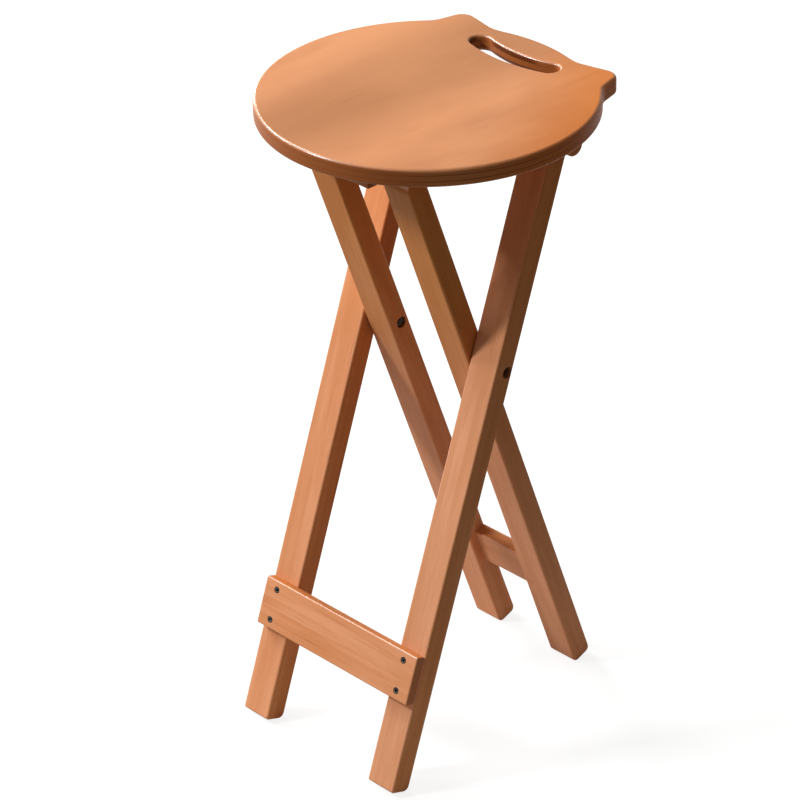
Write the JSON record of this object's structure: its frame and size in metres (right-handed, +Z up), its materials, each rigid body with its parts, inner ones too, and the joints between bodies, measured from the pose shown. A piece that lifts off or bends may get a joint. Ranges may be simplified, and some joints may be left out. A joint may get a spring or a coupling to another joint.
{
  "type": "folding bar stool",
  "caption": "Tall wooden folding stool with two pairs of crossed legs, a front footrest bar and a round hinged seat that has a curved hand slot between two ears.",
  "frame": {"origin": "on the floor at the middle of the stool's length and width, 2.5 mm in front of the axis on which the legs fold", "axes": "+Z up, -Y to the front (the footrest bar), +Y to the back (the hand slot), +X to the right seen from the front"},
  "size_m": [0.318, 0.3138, 0.65],
  "materials": {
    "seat_wood": "satin varnish on laminated bamboo",
    "frame_wood": "satin varnish on bamboo bars",
    "black_hardware": "blackened steel",
    "brass_hardware": "dull yellow zinc plate"
  },
  "bodies": {
    "outer_frame": {"outer_leg_left": "frame_wood", "outer_leg_right": "frame_wood", "front_crossbar": "frame_wood", "crossbar_screw_left_upper": "black_hardware", "crossbar_screw_left_lower": "black_hardware", "crossbar_screw_right_upper": "black_hardware", "crossbar_screw_right_lower": "black_hardware", "pivot_bolt_left": "black_hardware", "pivot_bolt_right": "black_hardware", "pivot_nut_left": "brass_hardware", "pivot_nut_right": "brass_hardware", "pivot_washer_left": "brass_hardware", "pivot_washer_right": "brass_hardware"},
    "inner_frame": {"inner_leg_left": "frame_wood", "inner_leg_right": "frame_wood", "rear_stretcher": "frame_wood", "top_rod": "frame_wood"},
    "seat": {"seat_board": "seat_wood", "hinge_lug_left": "frame_wood", "hinge_lug_right": "frame_wood", "hinge_bolt_left": "black_hardware", "hinge_bolt_right": "black_hardware", "hinge_washer_left": "brass_hardware", "hinge_washer_right": "brass_hardware", "lug_screw_left_front": "black_hardware", "lug_screw_left_back": "black_hardware", "lug_screw_right_front": "black_hardware", "lug_screw_right_back": "black_hardware", "catch_lip": "frame_wood", "catch_lip_screw_left": "black_hardware", "catch_lip_screw_right": "black_hardware", "catch_block": "frame_wood", "catch_block_screw_left": "black_hardware", "catch_block_screw_right": "black_hardware"}
  },
  "joints": [
    {"name": "leg_fold", "type": "hinge", "parent": "outer_frame", "child": "inner_frame", "pos_m": [0, 0.00254, 0.4], "axis": [-1, 0, 0], "range_deg": [0, 39.7]},
    {"name": "seat_tilt", "type": "hinge", "parent": "outer_frame", "child": "seat", "pos_m": [0, 0.07495, 0.6124], "axis": [-1, 0, 0], "range_deg": [0, 110]}
  ]
}
